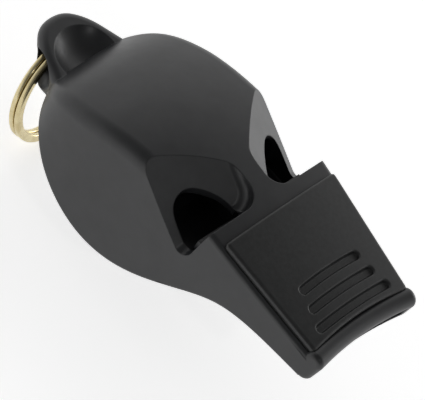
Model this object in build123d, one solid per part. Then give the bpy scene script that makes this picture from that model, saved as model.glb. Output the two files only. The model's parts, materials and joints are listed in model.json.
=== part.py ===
from build123d import *
from math import asin, cos, degrees, pi, sin
import os

# Three-chamber pealess training whistle. Lengths in mm, +X to the mouth tip, +Z up.
# The layout is drawn about the rear edge of the hump and moved at the end, so that the
# row's origin is the middle of the whistle's bounding box with the ring hanging.

# ---- driving dimensions -------------------------------------------------------------
REAR_X = -2.8            # rear edge of the hump, where the lug starts
TIP_X = 48.8             # front of the mouthpiece
HALF_WIDTH = 11.75       # body half width at the belly, its widest height
SIDE_DRAFT = 0.03        # side walls lean in by this much per mm of height
WALL = 1.5               # moulded wall
TOP_EDGE_R = 2.2         # soft edge between hump and side panel
MOUTH_EDGE_R = 0.8       # top edge of the mouthpiece
RIM_R = 0.35             # lower rim of the side panels

LIP_R = 1.4              # bead round the front of the mouthpiece
LIP_TOP = 16.0           # bead centre over the upper windways
LIP_LOW = 13.6           # bead centre under the lower windway
LIP_BACK = 0.45          # the lower bead stands this far behind the upper one
LIP_BOW = 0.8            # the middle of the lip stands this far behind its ends
LIP_HALF = 9.4
LIP_END_R = 0.7          # rounded ends of the lip
LIP_ROOT_X = 46.85       # the mouthpiece ends here, inside the lip
MOUTH_RECESS = (8.2, 0.9)        # half width and depth of the face between the beads

NOTCH_FRONT = (26.1, 27.25)      # x of the window's front wall, low end and top end
RAMP_SLOPE_X = 0.619     # window ramp falls this much per mm forward
RAMP_SLOPE_Y = 0.601     # and this much per mm outward
RAMP_Z0 = 35.26          # ramp height carried back to x = 0, y = 0
SPINE_HALF = 1.5         # half width of the spine left between the windows
SPINE_R = 2.7            # window corner between the spine and the front wall
SCOOP_R = 1.4            # soft inner corner round the foot of the window
RAMP_WALL = 0.7          # thickness of the wall under the ramp

CEILING_Z = 17.2         # roof of the two upper chambers next to the windows
RIB_HALF = 1.1           # rib between the two upper chambers
FLOOR_TOP = 11.4         # floor plate of the upper chambers
PLATE_T = 1.0
FLANGE_X = 26.0          # rear face of the plate's upstand, end of the upper chambers

PAD_START = 29.4
PAD_END = 46.7
PAD_PROUD = 0.95
PAD_SUNK = 0.6
PAD_EDGE_R = 0.45
GROOVE_W = 1.15
GROOVE_DEPTH = 0.55
GROOVES = ((39.7, 11.1), (42.3, 12.1), (44.8, 13.7))     # x of each groove's middle, and its length
GROOVE_BOW = 0.18

LUG_TIP_X = -11.0
LUG_TOP = 11.9
LUG_BOTTOM = 5.5
LUG_LEAN = 0.5           # the lug's walls run forward this much per mm down
LUG_EYE = (-6.6, 8.6)    # x and z of the ring hole through the lug
LUG_EYE_R = 1.65         # at its waist
LUG_EYE_FLARE = 11.2     # radius of the arc that opens both ends of the hole like a trumpet
LUG_DISH_R = 6.6         # dished top, next to the hump
LUG_DISH_DEPTH = 1.9

RING_R = 7.2             # mean radius of the split ring
RING_RADIAL = 1.2        # wire section across the ring
RING_AXIAL = 0.85        # wire section along the ring's axis, one coil
RING_GAP = 0.06          # air between the coils
RING_HANG = 18.0         # degrees the hanging ring leans forward
RING_LIFT = 0.4          # top of the ring's mean circle above the hole's centre


def plan_sketch(inset, lean):
    """Plan outline; lean is how far the drafted wall has moved in at this height."""
    cut = inset + lean
    rear = REAR_X + inset
    rear_half = 6.9 - cut
    bulge = [
        (rear, rear_half),
        (-0.4 + 0.7 * cut, 9.9 - cut),
        (4.5, 11.45 - cut),
        (12.0, HALF_WIDTH - cut),
        (22.0, 11.72 - cut),
        (30.0, 11.35 - cut),
        (TIP_X + 4, 9.55 - cut),
    ]
    side = Spline(*bulge)
    front = Line(side @ 1, (TIP_X + 4, 0))
    back = Line((rear, 0), side @ 0)
    half = Curve() + [back, side, front]
    return make_face(half + mirror(half, about=Plane.XZ))


def plan_solid(inset):
    """The drafted column of a plan outline, from under the belly to over the hump."""
    low, high = -6.0, 26.0
    sections = [
        Plane.XY.offset(low) * plan_sketch(inset, SIDE_DRAFT * (low - 4)),
        Plane.XY.offset(high) * plan_sketch(inset, SIDE_DRAFT * (high - 4)),
    ]
    return loft(sections, ruled=True)


CREST = [(-7, 3.5), (-2.8, 11.8), (0.0, 15.3), (3.2, 17.5), (8, 19.6), (13, 20.8), (18.5, 21.2),
         (23.5, 20.9), (27.2, 20.35), (33, 19.3), (40, 18.0), (47, 16.8), (54, 15.6)]
CREST_SECTIONS = 20


def roof_solid(raise_by=0.0):
    """Everything under the crowned top surface, hump and mouthpiece alike."""
    crest = Spline(*CREST)
    sections = []
    for i in range(CREST_SECTIONS + 1):
        middle = crest @ (i / CREST_SECTIONS)
        x, top = middle.X, middle.Y + raise_by
        fall = 2.0 - min(max((x - 8) / 18, 0), 1)
        arch = ThreePointArc((x, -14, top - fall), (x, 0, top), (x, 14, top - fall))
        legs = Polyline((x, 14, top - fall), (x, 14, -8), (x, -14, -8), (x, -14, top - fall))
        sections.append(Face(Wire([arch] + list(legs.edges()))))
    return loft(sections)


BELLY = [(REAR_X - 0.05, 11.2), (-2.2, 9.3), (0.2, 6.7), (3.6, 4.1), (7.8, 1.9), (12.8, 0.7),
         (18.0, 1.5), (23.3, 4.3), (28.6, 8.3), (33.2, 11.2), (39.2, 12.35), (TIP_X + 2, 12.4)]


def belly_edge(inset=0.0):
    """The belly from the rear corner round to the underside of the lip, in side view.

    With an inset, each point moves that far into the whistle, square to its neighbours.
    """
    moved = []
    for i, (x, z) in enumerate(BELLY):
        x0, z0 = BELLY[max(i - 1, 0)]
        x1, z1 = BELLY[min(i + 1, len(BELLY) - 1)]
        run = ((x1 - x0) ** 2 + (z1 - z0) ** 2) ** 0.5
        moved.append((x - inset * (z1 - z0) / run, z + inset * (x1 - x0) / run))
    return Spline(*moved)


def above_belly(inset, front_x, rear_x):
    """Slab of side view over the belly line, between two stations along the whistle."""
    belly = belly_edge(inset)
    over = Polyline(belly @ 1, (TIP_X + 2, 30), (-6, 30), (-6, (belly @ 0).Y), belly @ 0)
    slab = extrude(Plane.XZ * make_face(Curve() + [belly, over]), amount=16, both=True)
    reach = front_x - rear_x
    return slab & Pos((front_x + rear_x) / 2, 0, 12) * Box(reach, 40, 60)


def bowed(face):
    """A side-view face carried across the whistle on the shallow arc of the lip."""
    radius = (LIP_HALF ** 2 + LIP_BOW ** 2) / (2 * LIP_BOW)
    turn = degrees(asin(14 / radius))
    middle = Axis((TIP_X - LIP_R - LIP_BOW + radius, 0, 0), (0, 0, 1))
    return revolve(face.rotate(middle, -turn), axis=middle, revolution_arc=2 * turn)


def lip_bead():
    """Rounded front of the mouthpiece: two beads and the web between them, bowed inward."""
    lip_x = TIP_X - LIP_R - LIP_BOW
    centres = ((lip_x, LIP_TOP), (lip_x - LIP_BACK, LIP_LOW))
    rings = [(Pos(x, z) * Circle(LIP_R)).edge() for x, z in centres]
    lip = bowed(Plane.XZ * make_hull(rings)) & plan_solid(0)
    ends = [e for e in lip.edges() if abs((e @ 0.5).Y) > LIP_HALF - 0.6]
    return fillet(ends, LIP_END_R)


def mouth_recess():
    """The face between the two beads, set back so that the lip overhangs the windways."""
    half, depth = MOUTH_RECESS
    front = TIP_X - LIP_BOW
    face = make_face(Polyline((front - depth, 0, LIP_LOW + 0.3), (front + 3, 0, LIP_LOW - 0.2),
                              (front + 3, 0, LIP_TOP + 0.2), (front - depth, 0, LIP_TOP - 0.2),
                              (front - depth, 0, LIP_LOW + 0.3)))
    return bowed(face) & Pos(TIP_X, 0, 15) * Box(12, 2 * half, 20)


def outer_block(rear_x, front_x, top_radius):
    """One length of the outside, with its own softness on the top edges."""
    block = plan_solid(0) & roof_solid() & above_belly(0, front_x, rear_x)
    top_edges = [e for e in block.edges() if e.length > 15 and abs((e @ 0.5).Y) > 8 and (e @ 0.5).Z > 15]
    block = fillet(top_edges, top_radius)
    low_edges = [e for e in block.edges() if e.length > 15 and abs((e @ 0.5).Y) > 8 and (e @ 0.5).Z < 13]
    return fillet(low_edges, RIM_R)


def envelope():
    """Outside of the hollow whistle before the windows."""
    split_x = 25.0
    hump = outer_block(REAR_X - 0.05, split_x, TOP_EDGE_R)
    mouth = outer_block(split_x, LIP_ROOT_X, MOUTH_EDGE_R)
    return hump + mouth + lip_bead()


def ramp_plane(sink=0.0):
    """The plane of one window ramp, sunk by a wall's thickness where that is given."""
    ramp_x = Vector(1, 0, -RAMP_SLOPE_X)
    ramp_y = Vector(0, 1, -RAMP_SLOPE_Y)
    normal = ramp_x.cross(ramp_y).normalized()
    foot = Vector(20, 8, RAMP_Z0 - 20 * RAMP_SLOPE_X - 8 * RAMP_SLOPE_Y)
    return Plane(origin=foot - normal * sink, z_dir=normal)


def notch_plan(front):
    """Plan of one window: the spine's side, a round corner and the front wall."""
    corner = Polyline((4, 16), (4, SPINE_HALF), (front, SPINE_HALF), (front, 16), (4, 16))
    plan = make_face(corner)
    inner = [v for v in plan.vertices() if v.X > 5 and v.Y < 5]
    return fillet(inner, SPINE_R)


def window_notch():
    """Air over one upper window: a leaning ramp, the front wall and the rounded V."""
    low, high = 8.0, 26.0
    lean = (NOTCH_FRONT[1] - NOTCH_FRONT[0]) / 10
    sections = [Plane.XY.offset(z) * notch_plan(NOTCH_FRONT[0] + lean * (z - 10)) for z in (low, high)]
    column = loft(sections, ruled=True)
    air = column & ramp_plane() * Pos(0, 0, 15) * Box(60, 60, 30)
    foot = air.faces().filter_by(lambda f: abs(f.normal_at().dot(ramp_plane().z_dir) + 1) < 0.001)[0]
    inner = [e for e in foot.edges() if abs((e @ 0.5).Y) < 15 and (e @ 0.5).X > 12]
    return fillet(inner, SCOOP_R)


def window_hole():
    """The opening in one ramp, from the sharp labium edge to the front wall."""
    labium = Spline((24.0, 10.2), (22.0, 10.15), (20.6, 9.65), (20.05, 8.4), (20.35, 7.3), (21.2, 6.2),
                    (22.4, 5.15), (23.7, 4.3), (26.9, 3.2))
    rest = Polyline(labium @ 1, (26.9, 10.2), labium @ 0)
    return extrude(Pos(0, 0, FLOOR_TOP) * make_face(Curve() + [labium, rest]), amount=14)


def both_sides(solid):
    """A solid and its twin on the other side of the whistle."""
    return solid + mirror(solid, about=Plane.XZ)


def side_prism(points, half_width):
    """Side-view outline extruded both ways across the whistle."""
    outline = make_face(Polyline(*points, points[0]))
    return extrude(Plane.XZ * outline, amount=half_width, both=True)


PLATE_TOP = [(TIP_X, 14.85), (FLANGE_X, 15.6)]
PLATE_UNDER = [(FLANGE_X + PLATE_T, 14.6), (TIP_X, 14.0)]
WINDOW_BLOCK_X = 26.4


def hollow():
    """Everything inside the body shell's walls: chambers, windways and the open belly."""
    ceiling = Spline((-1.3, 11.5), (0.6, 13.6), (4.0, 15.8), (9.5, CEILING_Z))
    rest = Polyline(ceiling @ 1, (WINDOW_BLOCK_X, CEILING_Z), (WINDOW_BLOCK_X, 16.7),
                    (TIP_X + 1, 15.9), (TIP_X + 1, -6), (-6, -6), (-6, 11.5), ceiling @ 0)
    room = extrude(Plane.XZ * make_face(Curve() + [ceiling, rest]), amount=16, both=True)
    over_ramp = ramp_plane(RAMP_WALL) * Pos(0, 0, 15) * Box(60, 60, 30)
    roof_side = over_ramp & Pos(FLANGE_X - 10.1, 15, 16) * Box(20, 30, 20)
    return (room & plan_solid(WALL)) - both_sides(roof_side)


def chamber_ribs():
    """The rib between the upper chambers and its thinner run between the windways."""
    chamber = side_prism([(-2, FLOOR_TOP), (WINDOW_BLOCK_X + 0.4, FLOOR_TOP), (WINDOW_BLOCK_X + 0.4, 18),
                          (8, 18), (-2, 12)], RIB_HALF)
    front_x = LIP_ROOT_X + 0.2
    windway = side_prism([(front_x, PLATE_TOP[0][1]), (WINDOW_BLOCK_X - 0.2, PLATE_TOP[1][1]),
                          (WINDOW_BLOCK_X - 0.2, 17), (front_x, 16.4)], RIB_HALF - 0.3)
    inside = roof_solid(-0.5)
    return (chamber & inside) + (windway & inside)


def lug_outline():
    """Plan of the lug at its top: a rounded tongue, widest where it leaves the hump."""
    side = Spline((-1.0, 7.6), (-5.3, 5.85), (-8.0, 4.65), (-9.9, 3.1), (LUG_TIP_X, 0),
                  tangents=[(-1, -0.45, 0), (0, -1, 0)])
    ends = Polyline(side @ 1, (-1.0, 0), side @ 0)
    half = make_face(Curve() + [side, ends])
    return half + mirror(half, about=Plane.XZ)


def lug_eye():
    """The cross hole for the ring, a trumpet at both ends so that the ring's bend clears it."""
    reach = 8.0
    mouth_r = LUG_EYE_R + LUG_EYE_FLARE * (1 - cos(asin(reach / LUG_EYE_FLARE)))
    wall = ThreePointArc((mouth_r, -reach, 0), (LUG_EYE_R, 0, 0), (mouth_r, reach, 0))
    ends = Polyline(wall @ 1, (0, reach, 0), (0, -reach, 0), wall @ 0)
    waist = make_face(Curve() + [wall, ends])
    return Pos(LUG_EYE[0], 0, LUG_EYE[1]) * revolve(waist, axis=Axis.Y)


def lug():
    """The rear lug: a leaning tongue, dished on top, rising below toward the hump."""
    depth = LUG_TOP - LUG_BOTTOM
    outline = Pos(0, 0, LUG_TOP) * lug_outline()
    tongue = extrude(outline, amount=depth, dir=(LUG_LEAN, 0, -1))
    under = Spline((-9.6, 7.4), (-8.0, 5.95), (-6.2, 5.7), (-3.6, 7.0), (-0.5, 8.6))
    around = Polyline(under @ 1, (-0.5, 14), (-12, 14), (-12, 7.4), under @ 0)
    tongue &= extrude(Plane.XZ * make_face(Curve() + [under, around]), amount=12, both=True)
    top = [e for e in tongue.edges() if (e @ 0.5).Z > LUG_TOP - 0.1 and (e @ 0.5).X < -3]
    tongue = fillet(top, 1.1)
    tongue -= Pos(-3.2, 0, LUG_TOP - LUG_DISH_DEPTH + LUG_DISH_R) * Sphere(LUG_DISH_R)
    return tongue - lug_eye()


def body_shell():
    """Hump, side panels, upper half of the mouthpiece and the lug: one moulding."""
    shell = envelope() - hollow()
    shell += chamber_ribs() - windway_plate()
    shell += lug() - plan_solid(WALL / 2)
    shell -= both_sides(window_notch())
    shell -= both_sides(window_hole())
    shell -= mouth_recess()
    shell -= pad_block(top=True)
    shell -= pad_block(top=False)
    return shell


def windway_plate():
    """Welded insert: floor of the upper chambers, upstand, and divider of the windways."""
    outline = [PLATE_TOP[0], PLATE_TOP[1], (FLANGE_X, FLOOR_TOP), (-1.3, FLOOR_TOP),
               (-1.3, FLOOR_TOP - PLATE_T), (FLANGE_X + PLATE_T, FLOOR_TOP - PLATE_T),
               PLATE_UNDER[0], PLATE_UNDER[1]]
    return (side_prism(outline, 16) & plan_solid(WALL)) - mouth_recess()


LOW_WINDOW = (28.4, 34.0)      # labium and windway exit of the window under the whistle
LOW_HALF = 5.2


def belly_cover():
    """Curved bottom cover with the lower window and the floor of the lower windway."""
    lip = lip_bead() & Pos(TIP_X, 0, 13) * Box(2 * LIP_R + 6, 40, 10)
    slab = above_belly(0, LIP_ROOT_X, -1.3) + lip
    skin = slab - above_belly(1.6, LOW_WINDOW[1], -10)
    under_plate = side_prism([PLATE_UNDER[0], PLATE_UNDER[1], (TIP_X + 1, 13.95), (TIP_X + 1, -6), (-6, -6),
                              (-6, FLOOR_TOP - PLATE_T), (FLANGE_X + PLATE_T, FLOOR_TOP - PLATE_T)], 16)
    cover = skin & under_plate & plan_solid(WALL)
    channel = side_prism([(LOW_WINDOW[1] - 1, 12.9), (TIP_X + 1, 13.0), (TIP_X + 1, 15), (LOW_WINDOW[1] - 1, 15)],
                         LOW_HALF)
    window = Pos(sum(LOW_WINDOW) / 2, 0, 10) * Box(LOW_WINDOW[1] - LOW_WINDOW[0], 2 * LOW_HALF, 12)
    cover = cover - channel - window - mouth_recess()
    return cover - pad_block(top=False)


def pad_plan(start, end):
    """Grip pad outline: tapered, its front edge bowed toward the body."""
    back_half, front_half, bow = 10.45, 9.1, 0.8
    rim = Polyline((end, -front_half), (start, -back_half), (start, back_half), (end, front_half))
    front = ThreePointArc((end, front_half), (end - bow, 0), (end, -front_half))
    outline = make_face(Curve() + [rim, front])
    return fillet(outline.vertices(), 0.7)


def pad_block(top):
    """A grip pad without its grooves, also used to cut its seat."""
    if top:
        column = extrude(Pos(0, 0, 10) * pad_plan(PAD_START, PAD_END), amount=14)
        return (column & roof_solid(PAD_PROUD)) - roof_solid(-PAD_SUNK)
    column = extrude(Pos(0, 0, 4) * pad_plan(36.5, PAD_END), amount=14)
    low = above_belly(-0.8, PAD_END + 1, 30)
    return column & (low - above_belly(0.45, TIP_X, 20))


def grooves():
    """Three bowed finger grooves with round ends, each longer than the one behind it."""
    cuts = []
    for x, length in GROOVES:
        half = (length - GROOVE_W) / 2
        line = ThreePointArc((x, -half, 0), (x - GROOVE_BOW, 0, 0), (x, half, 0))
        ends = [Pos(x, y) * Circle(GROOVE_W / 2) for y in (-half, half)]
        slot = trace(line, GROOVE_W) + ends
        cuts.append(extrude(Pos(0, 0, 10) * slot, amount=14))
    return cuts[0] + cuts[1] + cuts[2]


def top_grip_pad():
    """Soft upper pad with its grooves."""
    pad = pad_block(top=True)
    rim = [e for e in pad.edges() if all((e @ t).Z > (e @ t).X * -0.17 + 25.2 - PAD_SUNK for t in (0.1, 0.9))]
    pad = fillet(rim, PAD_EDGE_R)
    return pad - (grooves() - roof_solid(PAD_PROUD - GROOVE_DEPTH))


def lower_grip_pad():
    """Soft lower pad, the same grip seen from below."""
    return pad_block(top=False)


def split_ring():
    """Two flat coils of one wire with the step that leads from one to the other."""
    pitch = RING_AXIAL + RING_GAP
    steps = 48
    turns = 1.97
    points = []
    for i in range(steps + 1):
        turn = turns * i / steps
        ramp = min(max((turn - 0.93) / 0.14, 0), 1)
        rise = pitch * (ramp * ramp * (3 - 2 * ramp) - 0.5)
        points.append((rise, RING_R * cos(2 * pi * turn), RING_R * sin(2 * pi * turn)))
    path = Spline(*points)
    section = Plane(origin=path @ 0, x_dir=(1, 0, 0), z_dir=path % 0) * RectangleRounded(
        RING_AXIAL, RING_RADIAL, 0.3)
    ring = sweep(section, path=path, is_frenet=True)
    return ring


def hung_ring():
    """The ring through the lug's cross hole, lifted so its bend clears the hole's ends."""
    drop = Pos(0, 0, RING_LIFT - RING_R) * Rot(-60, 0, 0) * split_ring()
    return Pos(LUG_EYE[0], 0, LUG_EYE[1]) * Rot(0, -RING_HANG, 0) * drop


def main():
    nodes = {
        "body_shell": body_shell(),
        "windway_plate": windway_plate(),
        "belly_cover": belly_cover(),
        "top_grip_pad": top_grip_pad(),
        "lower_grip_pad": lower_grip_pad(),
        "split_ring": hung_ring(),
    }
    boxes = [solid.bounding_box() for solid in nodes.values()]
    low = Vector(*(min(tuple(b.min)[i] for b in boxes) for i in range(3)))
    high = Vector(*(max(tuple(b.max)[i] for b in boxes) for i in range(3)))
    middle = (low + high) * 0.5
    os.makedirs("parts", exist_ok=True)
    for name, solid in nodes.items():
        export_step(Pos(-middle.X, -middle.Y, -middle.Z) * solid, f"parts/{name}.step")
    eye = Vector(LUG_EYE[0], 0, LUG_EYE[1]) - middle
    print("ring hole centre from the origin, mm:", eye, "and the origin from the hump's frame:", middle)


main()
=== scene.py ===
# %% [markdown]
# # A training whistle
# The object is a pealess whistle of black plastic, with soft grips on its mouthpiece and a
# brass-plated split ring in a lug at the rear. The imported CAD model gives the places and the
# overall sizes. This file adds what CAD doesn't hold: soft edges, grain, gloss, light and a
# camera.

# %% Load the frame
import bpy
import json
import numpy as np
from math import cos, sin, pi, radians
from mathutils import Matrix, Vector


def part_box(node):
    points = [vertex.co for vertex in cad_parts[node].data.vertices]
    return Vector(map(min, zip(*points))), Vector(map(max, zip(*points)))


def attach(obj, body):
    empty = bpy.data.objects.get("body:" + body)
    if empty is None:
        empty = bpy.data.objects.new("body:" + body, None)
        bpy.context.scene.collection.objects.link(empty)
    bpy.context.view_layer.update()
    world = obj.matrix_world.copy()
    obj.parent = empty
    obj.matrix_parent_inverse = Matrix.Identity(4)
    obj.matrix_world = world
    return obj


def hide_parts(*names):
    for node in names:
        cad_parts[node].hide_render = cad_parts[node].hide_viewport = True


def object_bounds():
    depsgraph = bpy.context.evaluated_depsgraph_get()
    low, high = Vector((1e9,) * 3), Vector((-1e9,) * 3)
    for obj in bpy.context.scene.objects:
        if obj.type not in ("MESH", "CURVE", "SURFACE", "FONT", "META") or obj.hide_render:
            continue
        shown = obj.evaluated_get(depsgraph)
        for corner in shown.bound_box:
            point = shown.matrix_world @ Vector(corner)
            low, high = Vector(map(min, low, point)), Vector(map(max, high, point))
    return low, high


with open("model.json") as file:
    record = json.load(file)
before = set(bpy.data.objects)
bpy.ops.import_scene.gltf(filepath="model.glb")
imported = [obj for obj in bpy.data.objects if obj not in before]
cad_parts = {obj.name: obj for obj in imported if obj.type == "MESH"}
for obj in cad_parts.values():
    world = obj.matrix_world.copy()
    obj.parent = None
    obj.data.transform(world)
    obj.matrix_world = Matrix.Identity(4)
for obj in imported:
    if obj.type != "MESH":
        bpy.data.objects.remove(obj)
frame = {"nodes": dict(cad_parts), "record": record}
cad_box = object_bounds()
MM = 0.001
print("nodes", sorted(frame["nodes"]))
print("box in mm", [[round(v / MM, 1) for v in corner] for corner in cad_box])

# %% [markdown]
# ## The camera
# The whistle is seen from above and a little to its front, and it lies slantwise across the
# frame. In a studio the whistle would be turned on the table. Here the frame has to stay
# put, so the camera does the turning: it rolls about its own line of sight. A long lens a
# metre away keeps the edges nearly parallel.

# %% Camera
CAMERA_AZIMUTH = radians(16.7)
CAMERA_ELEVATION = radians(50)
CAMERA_ROLL = radians(35.2)
CAMERA_DISTANCE = 1.02
CAMERA_AIM = (0.00232, 0.0, 0.00322)
SENSOR_MM = 36.0
FIELD_WIDTH = 0.0541          # width of the view where the whistle is, in metres


def camera_basis(azimuth, elevation, roll):
    """Right, up and back directions of a camera that looks at its aim.

    Back points from the object to the camera. Right lies level at first, up completes the
    three, and both then turn about back by the roll angle.
    """
    back = Vector((cos(elevation) * sin(azimuth), -cos(elevation) * cos(azimuth), sin(elevation)))
    level = Vector((cos(azimuth), sin(azimuth), 0))
    upright = back.cross(level)
    right = cos(roll) * level + sin(roll) * upright
    up = cos(roll) * upright - sin(roll) * level
    return right, up, back


def make_camera():
    """Camera aimed at the middle of the side view, a little over the belly."""
    right, up, back = camera_basis(CAMERA_AZIMUTH, CAMERA_ELEVATION, CAMERA_ROLL)
    data = bpy.data.cameras.new("studio_camera")
    data.sensor_width = SENSOR_MM
    data.lens = SENSOR_MM * CAMERA_DISTANCE / FIELD_WIDTH
    camera = bpy.data.objects.new("studio_camera", data)
    turn = Matrix((right, up, back)).transposed().to_4x4()
    camera.matrix_world = Matrix.Translation(Vector(CAMERA_AIM) + back * CAMERA_DISTANCE) @ turn
    bpy.context.collection.objects.link(camera)
    bpy.context.scene.camera = camera
    return camera


camera = make_camera()
print("lens mm", round(camera.data.lens, 1))

# %% [markdown]
# ## Colours and nodes
# Each colour is given as an sRGB code, but a shader adds light in linear values, so one
# function turns every code to linear. A second one adds any node with its settings and its
# links, which keeps each material down to the few lines that say what it is. The smooth step
# is here too, because the grooves, the shoulder and the ring's wire all use it.

# %% Colour and node helpers
def hex_colour(code):
    """An sRGB hex code as linear RGBA: each channel c becomes ((c + 0.055) / 1.055) ** 2.4."""
    channels = [int(code[i:i + 2], 16) / 255 for i in (0, 2, 4)]
    linear = [c / 12.92 if c <= 0.04045 else ((c + 0.055) / 1.055) ** 2.4 for c in channels]
    return (*linear, 1.0)


def add_node(tree, kind, links=None, **settings):
    """One shader node: settings go to its properties or sockets, links name its inputs."""
    node = tree.nodes.new(kind)
    for key, value in settings.items():
        name = key.replace("_", " ")
        socket = next((s for s in node.inputs if s.name.lower() == name.lower()), None)
        if hasattr(node, key):
            setattr(node, key, value)
        elif socket is not None:
            socket.default_value = value
        else:
            raise ValueError(f"{kind} has no setting {key}")
    for name, output in (links or {}).items():
        tree.links.new(output, node.inputs[name])
    return node


def smooth_step(value):
    """Zero below 0, one above 1, and 3t^2 - 2t^3 between."""
    t = np.clip(value, 0, 1)
    return t * t * (3 - 2 * t)


def new_material(name):
    """An empty node material, its tree and its output node."""
    material = bpy.data.materials.new(name)
    material.use_nodes = True
    material.node_tree.nodes.clear()
    return material, material.node_tree, material.node_tree.nodes.new("ShaderNodeOutputMaterial")


print("grey 45 in linear", round(hex_colour("454545")[0], 4))

# %% [markdown]
# ## Floor and surroundings
# Black plastic has almost no colour of its own: what the eye reads is the light reflected in
# it. The set is a sheet of matt white paper on a light table, inside a light tent. The tent
# has one dark opening, above the camera, and the faces that look that way turn nearly
# black. That opening draws the dark band along the hump's edge and darkens the near
# window ramp, while the flat side panel mirrors the white paper and stays grey.

# %% Paper floor
FLOOR_HALF = 1.2
FLOOR_DROP = 0.5 * MM          # the paper lies this far under the lowest point of the ring
PULP_SIZE = 1 / 30             # the paper's mottle, in metres
TABLE_GLOW = 0.6


def paper_floor():
    """Matt white paper on a light table: a faint mottle of pulp, lit a little from below."""
    material, tree, out = new_material("matt_white_paper")
    place = add_node(tree, "ShaderNodeTexCoord")
    mottle = add_node(tree, "ShaderNodeTexNoise", {"Vector": place.outputs["Object"]},
                      Scale=1 / PULP_SIZE, Detail=3.0)
    ramp = add_node(tree, "ShaderNodeValToRGB", {"Fac": mottle.outputs["Fac"]})
    ramp.color_ramp.elements[0].color = hex_colour("f6f6f6")
    ramp.color_ramp.elements[1].color = hex_colour("fbfbfb")
    paper = add_node(tree, "ShaderNodeBsdfPrincipled", {"Base Color": ramp.outputs["Color"]},
                     Roughness=0.9, Emission_Color=hex_colour("ffffff"), Emission_Strength=TABLE_GLOW)
    tree.links.new(paper.outputs["BSDF"], out.inputs["Surface"])
    return material


def make_floor(level):
    """A square of paper just under the lowest point of the ring."""
    mesh = bpy.data.meshes.new("paper_floor")
    h = FLOOR_HALF
    corners = [(-h, -h, level), (h, -h, level), (h, h, level), (-h, h, level)]
    mesh.from_pydata(corners, [], [(0, 1, 2, 3)])
    floor = bpy.data.objects.new("paper_floor", mesh)
    bpy.context.collection.objects.link(floor)
    mesh.materials.append(paper_floor())


floor_level = cad_box[0][2] - FLOOR_DROP
make_floor(floor_level)
print("floor at mm", round(floor_level / MM, 2))

# %% [markdown]
# ## Lamps and the tent
# The tent is the world: white all round, and darker by the angle to the middle of its
# opening. Two lamps add the little that a tent lacks: a wide one far off on the whistle's
# left lights the window ramp that faces it, and a small weak one gives the round corners
# their glints.

# %% Lamps and tent
TENT_STRENGTH = 1.0
OPENING_STRENGTH = 0.17
OPENING_TOWARD = Vector((0.25, -0.35, 0.90)).normalized()
OPENING_EDGE = (0.10, 0.75)    # cosines of the angle where the tent ends and full dark begins


def make_tent():
    """White surroundings whose strength falls smoothly toward the opening's direction."""
    world = bpy.data.worlds.new("light_tent")
    world.use_nodes = True
    tree = world.node_tree
    place = add_node(tree, "ShaderNodeTexCoord")
    toward = add_node(tree, "ShaderNodeVectorMath", {0: place.outputs["Generated"]}, operation="DOT_PRODUCT")
    toward.inputs[1].default_value = OPENING_TOWARD
    fall = add_node(tree, "ShaderNodeMapRange", {"Value": toward.outputs["Value"]},
                    interpolation_type="SMOOTHSTEP", From_Min=OPENING_EDGE[0], From_Max=OPENING_EDGE[1],
                    To_Min=TENT_STRENGTH, To_Max=OPENING_STRENGTH)
    background = tree.nodes["Background"]
    background.inputs["Color"].default_value = hex_colour("ffffff")
    tree.links.new(fall.outputs["Result"], background.inputs["Strength"])
    bpy.context.scene.world = world


def soft_lamp(name, place, size, watts):
    """A square area lamp at a place in metres, aimed at the whistle."""
    data = bpy.data.lights.new(name, "AREA")
    data.shape = "SQUARE"
    data.size = size
    data.energy = watts
    lamp = bpy.data.objects.new(name, data)
    lamp.location = place
    lamp.rotation_euler = (-Vector(place)).to_track_quat("-Z", "Y").to_euler()
    bpy.context.collection.objects.link(lamp)


make_tent()
soft_lamp("back_lamp", (0.25, 0.75, 0.12), 0.30, 1.0)
soft_lamp("glint_lamp", (0.47, -0.29, 0.58), 0.03, 0.22)
bpy.context.scene.view_settings.view_transform = "Standard"

# %% [markdown]
# ## Black ABS, moulded with a spark-eroded grain
# The shell, the belly cover and the windway plate are ABS. It is moulded against steel that
# was spark-eroded, which prints a fine dull grain: the gloss is satin, never a mirror, and
# it shifts a little from place to place where the melt flowed and where hands have rubbed.
# No moulded edge is a knife edge. Rounding thousands of small CAD edges by mesh work would be
# slow, so the shading normal is rounded over a fraction of a millimetre instead, and that
# gives each edge its thin bright line.

# %% Moulded ABS
EDGE_ROUND = 0.22 * MM
GRAIN_SIZE = 0.30 * MM         # a real grain is 0.02 mm, drawn coarser so that it shows
GRAIN_HEIGHT = 0.006 * MM


def grain_normal(tree, place, size, height, strength):
    """Normal output of a moulded grain: noise of one grain size as height over rounded edges."""
    soft_edge = add_node(tree, "ShaderNodeBevel", samples=6, Radius=EDGE_ROUND)
    grain = add_node(tree, "ShaderNodeTexNoise", {"Vector": place.outputs["Object"]},
                     Scale=1 / size, Detail=2.0, Roughness=0.6)
    bump = add_node(tree, "ShaderNodeBump",
                    {"Height": grain.outputs["Fac"], "Normal": soft_edge.outputs["Normal"]},
                    Strength=strength, Distance=height)
    return bump.outputs["Normal"]


def mottled_value(tree, place, size, low, high):
    """A number that wanders between low and high over patches of one size."""
    cloud = add_node(tree, "ShaderNodeTexNoise", {"Vector": place.outputs["Object"]},
                     Scale=1 / size, Detail=4.0, Roughness=0.65)
    span = add_node(tree, "ShaderNodeMapRange", {"Value": cloud.outputs["Fac"]},
                    From_Min=0.3, From_Max=0.7, To_Min=low, To_Max=high)
    return span.outputs["Result"]


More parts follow.
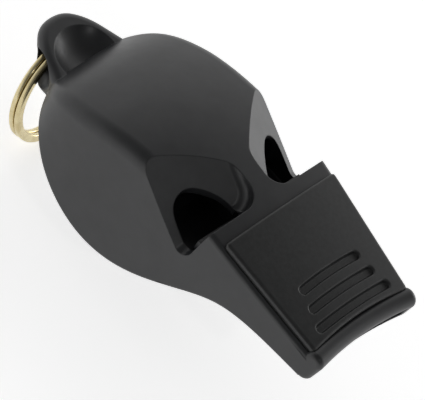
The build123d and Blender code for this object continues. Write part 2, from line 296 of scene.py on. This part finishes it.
def mottled_colour(tree, place, size, dark, light):
    """A colour that wanders between two codes over patches of one size."""
    cloud = add_node(tree, "ShaderNodeTexNoise", {"Vector": place.outputs["Object"]},
                     Scale=1 / size, Detail=5.0, Roughness=0.6)
    ramp = add_node(tree, "ShaderNodeValToRGB", {"Fac": cloud.outputs["Fac"]})
    ramp.color_ramp.elements[0].position = 0.35
    ramp.color_ramp.elements[1].position = 0.65
    ramp.color_ramp.elements[0].color = hex_colour(dark)
    ramp.color_ramp.elements[1].color = hex_colour(light)
    return ramp.outputs["Color"]


def moulded_abs():
    """Satin black ABS, IOR 1.54: dull grain, cool black, gloss that wanders a little."""
    material, tree, out = new_material("black_abs_satin_moulded")
    place = add_node(tree, "ShaderNodeTexCoord")
    links = {
        "Normal": grain_normal(tree, place, GRAIN_SIZE, GRAIN_HEIGHT, 0.6),
        "Base Color": mottled_colour(tree, place, 2.5 * MM, "17181a", "1f2022"),
        "Roughness": mottled_value(tree, place, 4 * MM, 0.34, 0.42),
    }
    skin = add_node(tree, "ShaderNodeBsdfPrincipled", links, IOR=1.54)
    tree.links.new(skin.outputs["BSDF"], out.inputs["Surface"])
    return material


def dress(name, material):
    """Puts a finished material on every slot of a CAD node."""
    for slot in frame["nodes"][name].material_slots:
        slot.material = material


abs_plastic = moulded_abs()
for name in ("body_shell", "windway_plate", "belly_cover"):
    dress(name, abs_plastic)
print("dressed in ABS: shell, plate and cover")

# %% [markdown]
# ## Black elastomer for the grips
# The grips are a thermoplastic elastomer moulded over the hard mouthpiece. It is softer than
# the ABS and takes a finer, slightly oily sheen from being handled, with the least dust in
# its pores. Its colour is a warmer black, and its gloss is wider.

# %% Elastomer
def soft_elastomer():
    """Black TPE, IOR 1.5: broad sheen, fine pores, a trace of pale dust."""
    material, tree, out = new_material("black_tpe_grip_moulded")
    place = add_node(tree, "ShaderNodeTexCoord")
    links = {
        "Normal": grain_normal(tree, place, 0.24 * MM, 0.007 * MM, 0.7),
        "Base Color": mottled_colour(tree, place, 0.6 * MM, "161717", "212222"),
        "Roughness": mottled_value(tree, place, 3 * MM, 0.36, 0.46),
    }
    skin = add_node(tree, "ShaderNodeBsdfPrincipled", links, IOR=1.5)
    tree.links.new(skin.outputs["BSDF"], out.inputs["Surface"])
    return material


tpe = soft_elastomer()
print("material", tpe.name)

# %% [markdown]
# ## Meshes from grids
# Both grips and the ring are surfaces of two parameters: rows of points worked out with
# numpy, then joined into quads. One function does the joining. It closes the grid sideways,
# and it can close it lengthwise with one point at each end, so no piece has a hole.

# %% Grid to mesh
def grid_faces(rows, columns):
    """Quads of a grid whose columns close on themselves: corner (i, j) joins (i+1, j+1)."""
    i, j = np.meshgrid(np.arange(rows - 1), np.arange(columns), indexing="ij")
    after = (j + 1) % columns
    here, below = i * columns, (i + 1) * columns
    quads = np.stack([here + j, here + after, below + after, below + j], -1)
    return quads.reshape(-1, 4)


def cap_faces(ring, pole, flip):
    """Triangles from a closed ring of vertex numbers to one pole."""
    after = np.roll(ring, -1)
    fan = np.stack([after, ring, np.full_like(ring, pole)], -1)
    return fan[:, ::-1] if flip else fan


def closed_grid_object(name, points, start_pole, end_pole, material):
    """A closed mesh from a grid of rows x columns x 3, with a pole before and one after."""
    rows, columns = points.shape[:2]
    vertices = np.concatenate([points.reshape(-1, 3), [start_pole, end_pole]])
    last = rows * columns
    quads = grid_faces(rows, columns)
    start = cap_faces(np.arange(columns), last, False)
    end = cap_faces(np.arange(columns) + (rows - 1) * columns, last + 1, True)
    mesh = bpy.data.meshes.new(name)
    mesh.from_pydata(vertices.tolist(), [], quads.tolist() + start.tolist() + end.tolist())
    mesh.shade_smooth()
    mesh.materials.append(material)
    piece = bpy.data.objects.new(name, mesh)
    bpy.context.collection.objects.link(piece)
    return piece


def turn_outward(piece):
    """Turns the faces outward and gives the volume in cubic millimetres.

    The signed volume is the sum of a . (b x c) / 6 over all triangles, and a negative sum
    means that the faces point in.
    """
    mesh = piece.data
    mesh.calc_loop_triangles()
    corners = np.empty(len(mesh.loop_triangles) * 3, dtype=np.int64)
    mesh.loop_triangles.foreach_get("vertices", corners)
    place = np.empty(len(mesh.vertices) * 3)
    mesh.vertices.foreach_get("co", place)
    a, b, c = place.reshape(-1, 3)[corners.reshape(-1, 3)].transpose(1, 0, 2)
    volume = np.einsum("ij,ij->", a, np.cross(b, c)) / 6
    if volume < 0:
        mesh.flip_normals()
    return abs(volume) / MM ** 3


print("grid of 3 x 4 has", len(grid_faces(3, 4)), "quads")

# %% [markdown]
# ## The upper grip
# The grip is a soft pad that fills a shallow seat on top of the mouthpiece and stands about a
# millimetre proud. Its plan is a tapered rectangle whose front edge bows in along the lip.
# Three finger grooves, bowed the same way, sit near the front. It could be a subdivided box
# with loops cut for the grooves, but the grooves would then fight the loops. Rings that
# shrink from the outline to the middle, with a height worked out from distances, put the
# round edge and the grooves exactly where a mould would.

# %% Plan of a grip
GRIP_CORNER = 0.84 * MM        # half the length over which a corner is averaged round
GRIP_BOW = 0.8 * MM
OUTLINE_POINTS = 720
SIDE_POINTS = 400              # points along each side before they are spaced evenly
DISTANCE_BLOCKS = 40           # points are compared with the outline in this many lots


def grip_outline(rear, front, rear_half, front_half):
    """Plan of a grip as points, evenly spaced along its edge.

    The outline is a trapezoid with its front edge bowed in by a parabola. Each corner is
    then rounded by averaging the outline with itself over the length of the corner.
    """
    across = np.linspace(-1, 1, SIDE_POINTS)
    front_edge = np.stack([front - GRIP_BOW * (1 - across ** 2), front_half * across], -1)
    side = np.linspace(0, 1, SIDE_POINTS)[:, None]
    far = (1 - side) * [front, front_half] + side * [rear, rear_half]
    back_edge = np.stack([np.full(SIDE_POINTS, rear), -rear_half * across], -1)
    near = (1 - side) * [rear, -rear_half] + side * [front, -front_half]
    rough = np.concatenate([front_edge[:-1], far[:-1], back_edge[:-1], near[:-1]])
    closed = np.vstack([rough, rough[:1]])
    walk = np.concatenate([[0], np.cumsum(np.hypot(*np.diff(closed, axis=0).T))])
    even = np.linspace(0, walk[-1], OUTLINE_POINTS, endpoint=False)
    evenly = np.stack([np.interp(even, walk, closed[:, k]) for k in (0, 1)], -1)
    reach = int(round(GRIP_CORNER / walk[-1] * OUTLINE_POINTS))
    window = np.hanning(2 * reach + 3)[1:-1]
    window /= window.sum()
    shifts = range(-reach, reach + 1)
    return sum(w * np.roll(evenly, k, axis=0) for w, k in zip(window, shifts))


def edge_distance(points, outline):
    """Distance from each plan point to the nearest point of the outline, in blocks."""
    blocks = np.array_split(points, DISTANCE_BLOCKS)
    squares = [((block[:, None] - outline[None]) ** 2).sum(-1).min(1) for block in blocks]
    return np.sqrt(np.concatenate(squares))


top_low, top_high = (np.array(corner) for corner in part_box("top_grip_pad"))
print("upper grip from CAD, mm", (top_high - top_low).round(5) / MM)

# %% [markdown]
# The grooves are cut by distance too. A point's distance to a groove's bowed middle line says
# how deep the floor lies there: full depth inside, nothing outside, and a smooth step between
# the two, as a polished mould core leaves it. The ends are round because the distance to the
# end of a line is round.

# %% Grooves
GROOVE_BOW = 0.18 * MM
GROOVE_HALF = 0.56 * MM
GROOVE_SOFT = 0.17 * MM
GROOVE_DEPTH = 0.55 * MM
GROOVES = ((6.98, 11.1), (4.38, 12.1), (1.88, 13.7))    # mm back from the grip's front, and length


def groove_depth(x, y, grooves):
    """Depth under the grip's skin: a smooth step of the distance to each bowed middle line."""
    depth = np.zeros_like(x)
    for middle, length in grooves:
        half = length / 2 - GROOVE_HALF
        inside = np.clip(y / half, -1, 1)
        line_x = middle - GROOVE_BOW * (1 - inside ** 2)
        distance = np.hypot(x - line_x, y - inside * half)
        step = smooth_step((GROOVE_HALF + GROOVE_SOFT - distance) / (2 * GROOVE_SOFT))
        depth = np.maximum(depth, GROOVE_DEPTH * step)
    return depth


def groove_places(front):
    """Middle x and length of each groove, from the rearmost to the one nearest the lip."""
    return [(front - back * MM, length * MM) for back, length in GROOVES]


print("grooves at mm", [[round(v / MM, 1) for v in g] for g in groove_places(top_high[0])])

# %% [markdown]
# Last comes the skin itself. It follows the mouthpiece's own slope, and it rolls over its
# edge on a quarter circle before it drops into the seat. The hidden face in the seat is one
# more ring and a pole. The same function makes the lower grip, turned to face down.

# %% Skin of a grip
GRIP_RINGS = 110
RING_CROWDING = 1.25           # above 1, the rings lie closer together toward the edge
SEAT_RING = 8                  # the plan ring that the hidden face in the seat ends on
GRIP_EDGE = 0.42 * MM
GRIP_OVERHANG = 0.12 * MM      # the plan's front corners, before rounding, past the CAD solid


def rolled_edge(distance):
    """Drop of a quarter-circle edge of radius GRIP_EDGE at a distance from the outline."""
    short = GRIP_EDGE - np.clip(distance, 0, GRIP_EDGE)
    return GRIP_EDGE - np.sqrt(GRIP_EDGE ** 2 - short ** 2)


def grip_rings(outline, middle):
    """Rings of plan points from near the middle out to the outline, closer at the edge."""
    even = np.linspace(0.01, 1, GRIP_RINGS)
    share = 1 - (1 - even) ** RING_CROWDING
    return middle + share[:, None, None] * (outline[None] - middle)


def grip_piece(name, node, outline, skin, facing, thick, edge, grooves, material):
    """A closed grip: skin gives its height from x and y, and facing is +1 up or -1 down.

    The height of a point is the skin's, less the drop at the edge and the groove depth there.
    edge gives that drop from the distance to the outline.
    """
    middle = (outline.max(0) + outline.min(0)) / 2
    plan = grip_rings(outline, middle)
    x, y = plan[..., 0], plan[..., 1]
    distance = edge_distance(plan.reshape(-1, 2), outline).reshape(x.shape)
    height = skin(x, y) - facing * (edge(distance) + groove_depth(x, y, grooves))
    face = np.stack([x, y, height], -1)
    seat = skin(x, y) - facing * thick
    foot = np.stack([x[-1], y[-1], seat[-1]], -1)[None]
    inner = np.stack([x[SEAT_RING], y[SEAT_RING], seat[SEAT_RING]], -1)[None]
    start = (*middle, height[0].mean())
    end = (*middle, seat[SEAT_RING].mean())
    piece = closed_grid_object(name, np.concatenate([face, foot, inner]), start, end, material)
    print(name, "mm3", round(turn_outward(piece), 1), "vertices", len(piece.data.vertices))
    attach(piece, "whistle")
    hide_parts(node)


# %% [markdown]
# The upper grip's ridge falls toward the lip, and it arches by half a millimetre from side
# to side on a wide radius, as the mouthpiece under it does. Its skin starts 0.05 mm above the
# top of its CAD solid, and its plan is 0.06 mm wider on each side.

# %% Upper grip
ARCH_RADIUS = 98.5 * MM
RIDGE_FALL = 0.178             # per unit of length toward the lip
TOP_TAPER = 1.35 * MM          # each side comes in by this much from rear to front
TOP_THICK = 1.55 * MM
TOP_LIFT = 0.05 * MM
TOP_WIDEN = 0.06 * MM


def upper_skin(x, y):
    """Height of the upper grip: a straight falling ridge less a parabola across."""
    return top_high[2] + TOP_LIFT - RIDGE_FALL * (x - top_low[0]) - y ** 2 / (2 * ARCH_RADIUS)


top_half = top_high[1] + TOP_WIDEN
top_outline = grip_outline(top_low[0], top_high[0] + GRIP_OVERHANG, top_half, top_half - TOP_TAPER)
grip_piece("upper_grip_skin", "top_grip_pad", top_outline, upper_skin, 1, TOP_THICK,
           rolled_edge, groove_places(top_high[0]), tpe)

# %% [markdown]
# The lower grip lies on the curve of the belly. Its CAD solid already follows that curve, so
# the skin's height is fitted to the solid: one cubic through all its points runs between its
# two faces, and a second cubic through the points under the first is its lower face. Its
# edge is a wide soft shoulder that ends just inside the moulding. The CAD solid is plain
# here, and the three grooves repeat those of the upper grip.

# %% Lower grip
SHOULDER_START = 0.25 * MM
SHOULDER_WIDTH = 1.5 * MM
SHOULDER_DROP = 0.85 * MM      # the CAD solid stands 0.8 mm proud of the moulding
LOW_TAPER = 0.8 * MM
LOW_THICK = 1.15 * MM
LOW_NARROW = 0.02 * MM


def cad_points(name):
    """All points of a CAD node's mesh as an array."""
    mesh = frame["nodes"][name].data
    place = np.empty(len(mesh.vertices) * 3)
    mesh.vertices.foreach_get("co", place)
    return place.reshape(-1, 3)


def underside_curve(points):
    """Cubic for the lower face: fitted to the points that lie under the cubic through all."""
    x, z = points[:, 0], points[:, 2]
    low = z < np.polyval(np.polyfit(x, z, 3), x)
    return np.polyfit(x[low], z[low], 3)


def soft_shoulder(distance):
    """Drop of the lower grip's edge: a smooth step down over the shoulder's width."""
    return SHOULDER_DROP * (1 - smooth_step((distance - SHOULDER_START) / SHOULDER_WIDTH))


low_low, low_high = (np.array(corner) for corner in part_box("lower_grip_pad"))
belly = underside_curve(cad_points("lower_grip_pad"))
print("underside mm", (np.polyval(belly, [low_low[0], low_high[0]]) / MM).round(2))


def lower_skin(x, y):
    """Height of the lower grip: the fitted curve of the CAD solid, the same for every y."""
    return np.polyval(belly, x)


low_half = low_high[1] - LOW_NARROW
low_outline = grip_outline(low_low[0], low_high[0] + GRIP_OVERHANG, low_half, low_half - LOW_TAPER)
grip_piece("lower_grip_skin", "lower_grip_pad", low_outline, lower_skin, -1, LOW_THICK,
           soft_shoulder, groove_places(low_high[0]), tpe)

# %% [markdown]
# ## The split ring
# The ring is two flat coils of one brass-plated steel wire, pressed against each other. The
# coils are one path that goes nearly twice round and steps sideways by one wire on the way.
# A spring curve with a bevel could make it, but the bevel would twist on the step. A profile
# set out along the ring's own axis and radius can't twist, and its ends can be ground to the
# short wedge that lets a thumbnail in.

# %% Ring wire
WIRE_AXIAL = 0.84 * MM
WIRE_RADIAL = 1.2 * MM
RING_RADIUS = 7.2 * MM         # middle of the wire
COIL_PITCH = 0.91 * MM
RING_TURNS = 1.97
STEP_TURNS = (0.93, 0.14)      # where the step from coil to coil starts, and its length, in turns
RING_STEPS = 900
SECTION_POINTS = 40
SECTION_POWER = 2 / 3          # 2 over the superellipse's exponent of 3
END_LENGTH = 0.028             # turns over which an end is ground to a wedge
END_AXIAL = 0.35               # share of the wire's axial size left at its very end
END_RADIAL = 0.8               # share of its radial size left there


def ring_wire(radius):
    """The wire in the ring's own frame, the axis along x.

    The middle line goes round by turns, and its place along the axis steps by one coil
    between 0.93 and 1.07 turns. The section is a superellipse with exponent 3: flat enough
    for the coils to sit together, round enough to roll the light.
    """
    turn = np.linspace(0, RING_TURNS, RING_STEPS)[:, None]
    around = np.linspace(0, 2 * pi, SECTION_POINTS, endpoint=False)[None]
    ground = smooth_step(np.minimum(turn, RING_TURNS - turn) / END_LENGTH)
    along = np.sign(np.cos(around)) * np.abs(np.cos(around)) ** SECTION_POWER
    out = np.sign(np.sin(around)) * np.abs(np.sin(around)) ** SECTION_POWER
    rise = COIL_PITCH * (smooth_step((turn - STEP_TURNS[0]) / STEP_TURNS[1]) - 0.5)
    x = rise + along * WIRE_AXIAL / 2 * (END_AXIAL + (1 - END_AXIAL) * ground)
    r = radius + out * WIRE_RADIAL / 2 * (END_RADIAL + (1 - END_RADIAL) * ground)
    angle = 2 * pi * turn
    return np.stack([x, r * np.cos(angle), r * np.sin(angle)], -1)


print("wire grid", ring_wire(RING_RADIUS).shape)

# %% [markdown]
# ## Brass plate on steel wire
# The wire was drawn through a die, then plated with a thin bright layer of brass and given a
# clear lacquer. Drawing leaves fine lines that run along the wire, so the roughness follows
# the wire's own length and girth, which the ring's UV map holds. The plate's colour wanders a
# little between a paler and a deeper brass, in patches about as wide as the wire.

# %% Plated wire
def plated_wire():
    """Pale brass plate: metallic, with its roughness and its height from the drawn lines."""
    material, tree, out = new_material("brass_plated_drawn_wire")
    place = add_node(tree, "ShaderNodeUVMap", uv_map="wire")
    lines = add_node(tree, "ShaderNodeMapping", {"Vector": place.outputs["UV"]})
    lines.inputs["Scale"].default_value = (6.0, 90.0, 1.0)
    drawn = add_node(tree, "ShaderNodeTexNoise", {"Vector": lines.outputs["Vector"]},
                     Scale=1.0, Detail=3.0)
    rough = add_node(tree, "ShaderNodeMapRange", {"Value": drawn.outputs["Fac"]},
                     From_Min=0.3, From_Max=0.7, To_Min=0.16, To_Max=0.30)
    where = add_node(tree, "ShaderNodeTexCoord")
    plate = mottled_colour(tree, where, 1.6 * MM, "c9b98c", "ddd1aa")
    bump = add_node(tree, "ShaderNodeBump", {"Height": drawn.outputs["Fac"]},
                    Strength=0.25, Distance=0.01 * MM)
    links = {
        "Base Color": plate,
        "Roughness": rough.outputs["Result"],
        "Normal": bump.outputs["Normal"],
    }
    skin = add_node(tree, "ShaderNodeBsdfPrincipled", links, Metallic=1.0)
    tree.links.new(skin.outputs["BSDF"], out.inputs["Surface"])
    return material


brass = plated_wire()
print("material", brass.name)

# %% [markdown]
# The ring hangs by its top through the lug's cross hole, leaning forward under its own
# weight. The joint's own place in the frame is the middle of that hole. The ring is built
# about its axis, dropped by a little less than its radius, leaned, and set at the joint.

# %% Hung ring
RING_LIFT = 0.4 * MM
RING_HANG = radians(18.0)
RING_START = radians(-60)      # where round the ring the wire begins


def turn_matrix(axis, angle):
    """A 3 x 3 rotation about one axis as a numpy array."""
    return np.array(Matrix.Rotation(angle, 3, axis))


def hung_ring(material, eye):
    """The wire ring turned, dropped and leaned into the lug's hole."""
    wire = ring_wire(RING_RADIUS) @ turn_matrix("X", RING_START).T
    wire = wire + np.array([0, 0, RING_LIFT - RING_RADIUS])
    wire = wire @ turn_matrix("Y", -RING_HANG).T + eye
    start, end = wire[0].mean(0), wire[-1].mean(0)
    piece = closed_grid_object("split_ring_wire", wire, start, end, material)
    mesh = piece.data
    corner = np.empty(len(mesh.loops), dtype=np.int64)
    mesh.loops.foreach_get("vertex_index", corner)
    row, column = np.divmod(np.minimum(corner, RING_STEPS * SECTION_POINTS - 1), SECTION_POINTS)
    uv = np.stack([row / RING_STEPS * RING_TURNS, column / SECTION_POINTS], -1)
    mesh.uv_layers.new(name="wire").data.foreach_set("uv", uv.ravel())
    print("ring mm3", round(turn_outward(piece), 1), "vertices", len(mesh.vertices))
    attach(piece, "ring")
    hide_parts("split_ring")


swing = next(j for j in frame["record"]["behaviour"]["joints"] if j["name"] == "ring_swing")
hung_ring(brass, np.array(swing["pos_m"]))
